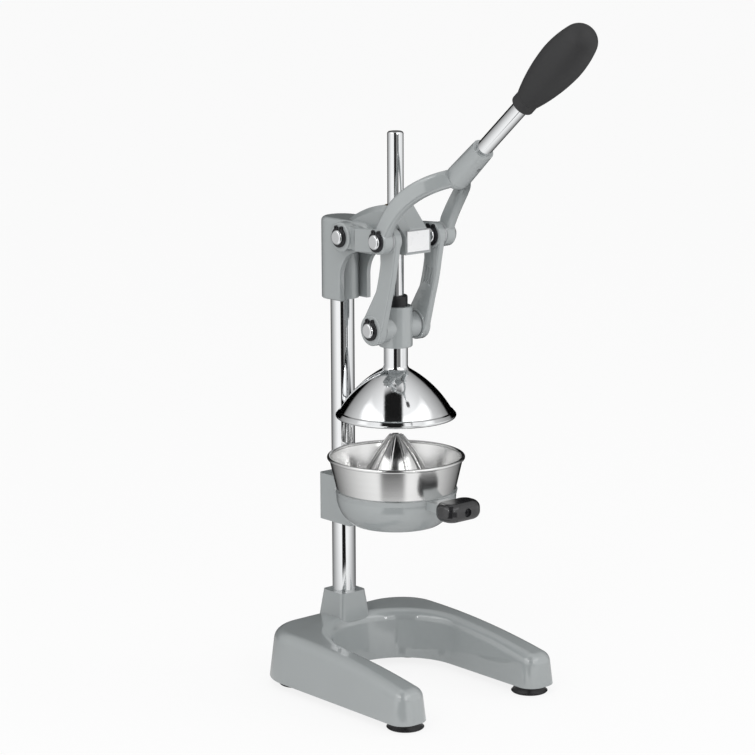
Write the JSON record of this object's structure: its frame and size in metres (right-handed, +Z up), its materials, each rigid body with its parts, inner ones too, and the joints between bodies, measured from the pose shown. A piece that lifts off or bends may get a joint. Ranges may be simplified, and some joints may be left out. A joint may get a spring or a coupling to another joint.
{
  "type": "manual lever citrus press",
  "caption": "Free-standing hand citrus press: a forked lever and links push a dome down a guide rod onto a ribbed reamer in a steel bowl over a U-shaped base.",
  "frame": {"origin": "on the press axis at table level, where the glass stands", "axes": "+Z up along the press rod, -Y towards the user, +X to the right as the user faces the press"},
  "size_m": [0.184, 0.3254, 0.589],
  "materials": {
    "grey_paint": "satin paint",
    "chrome": "polished",
    "black_ring": "black oxide",
    "stainless": "spun and brushed",
    "zinc_steel": "bright zinc",
    "black_rubber": "matte",
    "bush_brass": "turned",
    "soft_grip": "soft matte",
    "black_gloss": "moulded gloss",
    "white_plate": "bare gloss"
  },
  "bodies": {
    "frame": {"base_casting": "grey_paint", "front_left_foot": "black_rubber", "front_right_foot": "black_rubber", "rear_left_foot": "black_rubber", "rear_right_foot": "black_rubber", "column_tube": "chrome", "column_plug": "zinc_steel", "column_washer": "zinc_steel", "column_bolt": "zinc_steel", "head_casting": "grey_paint", "name_plate": "white_plate", "head_set_screw": "zinc_steel", "lower_guide_bush": "bush_brass", "upper_guide_bush": "bush_brass", "bowl_holder": "grey_paint", "holder_set_screw": "zinc_steel", "front_grip": "black_gloss", "front_grip_screw": "zinc_steel", "juice_bowl": "stainless", "strainer": "stainless"},
    "carriage": {"carriage": "grey_paint", "press_rod": "chrome", "bumper": "black_rubber", "neck_sleeve": "chrome", "press_dome": "chrome", "dome_washer": "zinc_steel", "dome_nut": "zinc_steel", "left_cross_pin": "chrome", "right_cross_pin": "chrome", "cross_pin_rings": "black_ring", "trunnion_washers": "zinc_steel"},
    "links": {"left_link": "grey_paint", "right_link": "grey_paint"},
    "lever": {"lever_fork": "grey_paint", "handle_rod": "chrome", "handle_roll_pin": "zinc_steel", "grip": "soft_grip", "pivot_pin": "chrome", "pivot_pin_rings": "black_ring", "left_link_pin": "chrome", "right_link_pin": "chrome", "outer_link_pin_rings": "black_ring", "inner_link_pin_rings": "black_ring", "link_washers": "zinc_steel"}
  },
  "joints": [
    {"name": "carriage_slide", "type": "slide", "parent": "frame", "child": "carriage", "axis": [0, 0, 1], "range_m": [-0.0405, 0.0363]},
    {"name": "link_tilt", "type": "hinge", "parent": "carriage", "child": "links", "pos_m": [0, 0, 0.32], "axis": [-1, 0, 0], "range_deg": [-1.9, 2.1]},
    {"name": "lever_swing", "type": "hinge", "parent": "links", "child": "lever", "pos_m": [0, -0.022, 0.3997], "axis": [-1, 0, 0], "range_deg": [-40.9, 36.7]}
  ],
  "couplings": [
    {"joint": "carriage_slide", "follows": "lever_swing", "m_per_rad": 0.056},
    {"joint": "link_tilt", "follows": "lever_swing", "ratio": -0.0476}
  ]
}
